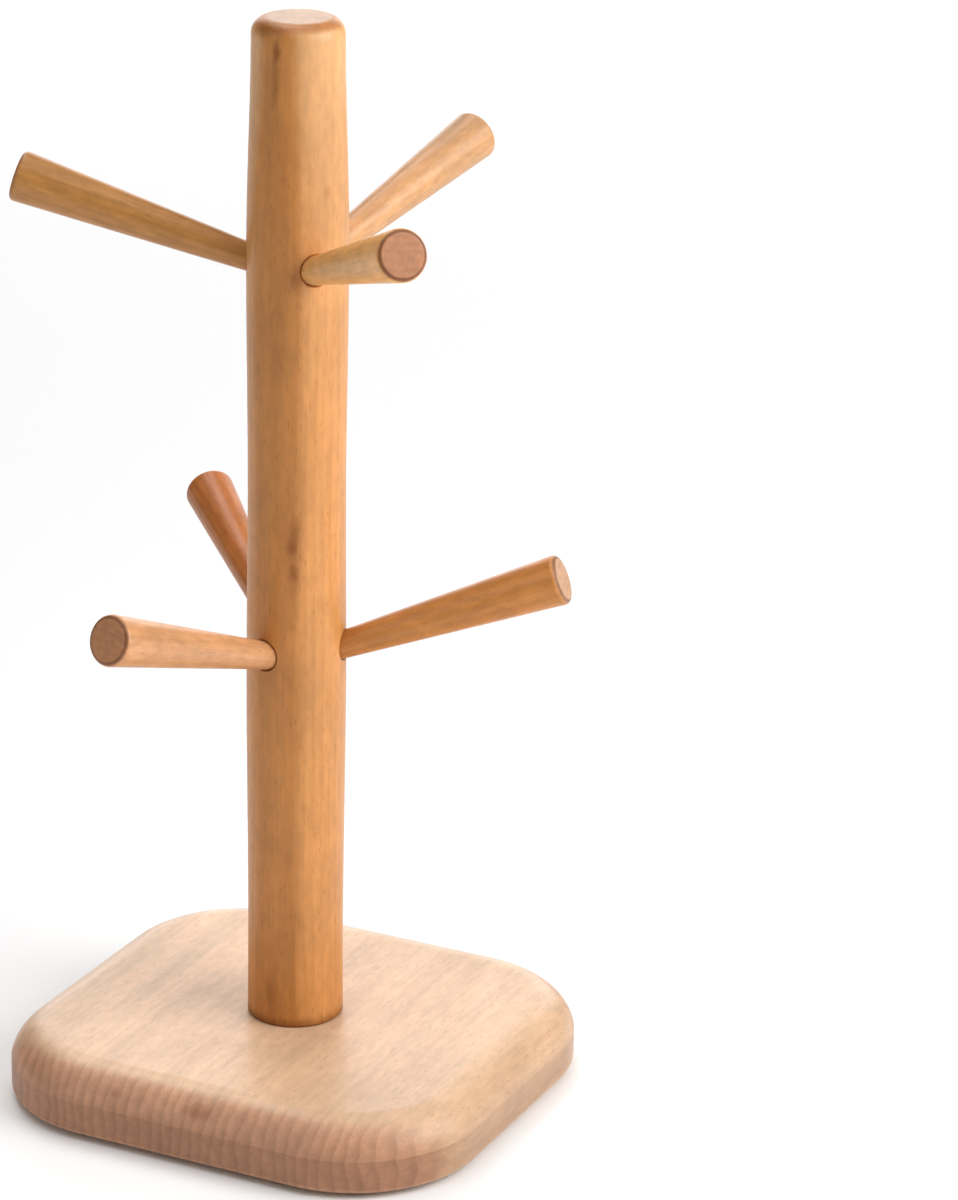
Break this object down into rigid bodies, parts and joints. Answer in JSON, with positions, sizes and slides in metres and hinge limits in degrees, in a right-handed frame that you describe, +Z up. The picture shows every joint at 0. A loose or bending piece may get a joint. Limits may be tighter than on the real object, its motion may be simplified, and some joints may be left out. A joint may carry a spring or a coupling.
{
  "type": "mug tree",
  "caption": "Wooden mug tree: a turned upright post on a round-cornered board, with tapered pegs rising outward in two staggered tiers to hang mugs on.",
  "frame": {"origin": "on the surface that the tree stands on, under the axis of the post", "axes": "+Z up along the post; +Y along the grain of the board, which is its shorter side; +X along the board's longer side"},
  "size_m": [0.1543, 0.158, 0.32],
  "materials": {
    "board_wood": "smooth beech with a thin satin oil or lacquer",
    "post_wood": "turned beech, satin, warm tan",
    "upper_left_peg_wood": "turned beech, satin",
    "upper_front_peg_wood": "turned beech, satin",
    "upper_rear_peg_wood": "turned beech, satin",
    "lower_front_peg_wood": "turned beech, satin",
    "lower_right_peg_wood": "turned beech, satin",
    "lower_rear_peg_wood": "turned beech, satin",
    "bolt_steel": "zinc plated",
    "washer_steel": "zinc plated",
    "insert_brass": "machined",
    "foot_pad": "matt foam rubber"
  },
  "bodies": {
    "root": {"base_board": "board_wood", "post": "post_wood", "fixing_bolt": "bolt_steel", "bolt_washer": "washer_steel", "threaded_insert": "insert_brass", "upper_left_peg": "upper_left_peg_wood", "upper_front_peg": "upper_front_peg_wood", "upper_rear_peg": "upper_rear_peg_wood", "lower_front_peg": "lower_front_peg_wood", "lower_right_peg": "lower_right_peg_wood", "lower_rear_peg": "lower_rear_peg_wood", "foot_front_left": "foot_pad", "foot_front_right": "foot_pad", "foot_rear_left": "foot_pad", "foot_rear_right": "foot_pad"}
  },
  "joints": []
}
